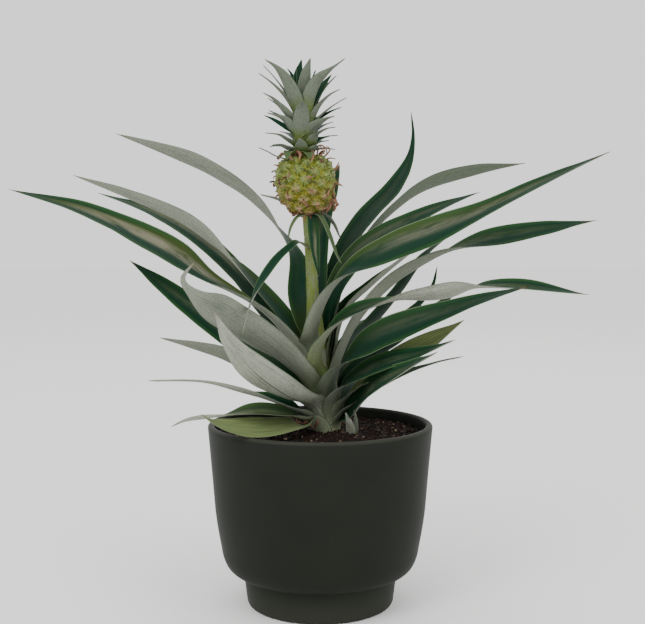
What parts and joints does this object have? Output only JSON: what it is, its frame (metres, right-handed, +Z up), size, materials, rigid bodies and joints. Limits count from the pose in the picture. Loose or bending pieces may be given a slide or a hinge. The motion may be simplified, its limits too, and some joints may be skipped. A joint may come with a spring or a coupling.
{
  "type": "potted pineapple plant",
  "caption": "Young ornamental pineapple plant with a small crowned fruit on a stalk above long channelled leaves, in a footed matte ceramic pot filled with soil.",
  "frame": {"origin": "centre of the pot's foot, on the surface that the pot stands on", "axes": "+Z up along the pot's axis, +X to the right along the plant's widest spread, -Y towards the viewer"},
  "size_m": [0.3573, 0.2049, 0.3362],
  "materials": {
    "pot_glaze": "matte",
    "potting_soil": "matte",
    "stalk_flesh": "satin",
    "fruit_rind": "satin",
    "crown_leaf": "satin",
    "leaf_blade": "satin",
    "bract_leaf": "satin"
  },
  "bodies": {
    "root": {"pot": "pot_glaze", "soil": "potting_soil", "fruit": "fruit_rind", "crown": "crown_leaf", "stalk": "stalk_flesh", "leaf_right_high": "leaf_blade", "leaf_left_high": "leaf_blade", "leaf_left_front": "leaf_blade", "leaf_front_silver": "leaf_blade", "leaf_left_middle": "leaf_blade", "leaf_left_back": "leaf_blade", "leaf_left_behind": "leaf_blade", "leaf_left_low": "leaf_blade", "leaf_right_front": "leaf_blade", "leaf_right_wide": "leaf_blade", "leaf_right_middle": "leaf_blade", "leaf_right_upright": "leaf_blade", "leaf_right_back": "leaf_blade", "leaf_right_inner": "leaf_blade", "leaf_centre_back": "leaf_blade", "leaf_right_low": "leaf_blade", "leaf_right_lowest": "leaf_blade", "leaf_right_pale": "leaf_blade", "leaf_right_thin": "leaf_blade", "leaf_right_strip": "leaf_blade", "leaf_right_dark": "leaf_blade", "leaf_right_hidden": "leaf_blade", "leaf_right_spike": "leaf_blade", "leaf_left_narrow": "leaf_blade", "leaf_left_dry": "leaf_blade", "leaf_left_arched": "leaf_blade", "leaf_rim": "leaf_blade", "leaf_stub_green": "leaf_blade", "leaf_stub_pale": "leaf_blade", "leaf_back_left": "leaf_blade", "leaf_back": "leaf_blade", "leaf_back_inner": "leaf_blade", "leaf_back_right": "leaf_blade", "leaf_back_right_low": "leaf_blade", "leaf_back_left_low": "leaf_blade", "leaf_back_low": "leaf_blade", "bract_long": "bract_leaf", "bract_left": "bract_leaf", "bract_right": "bract_leaf", "bract_hanging": "bract_leaf", "bract_grey": "bract_leaf"}
  },
  "joints": []
}
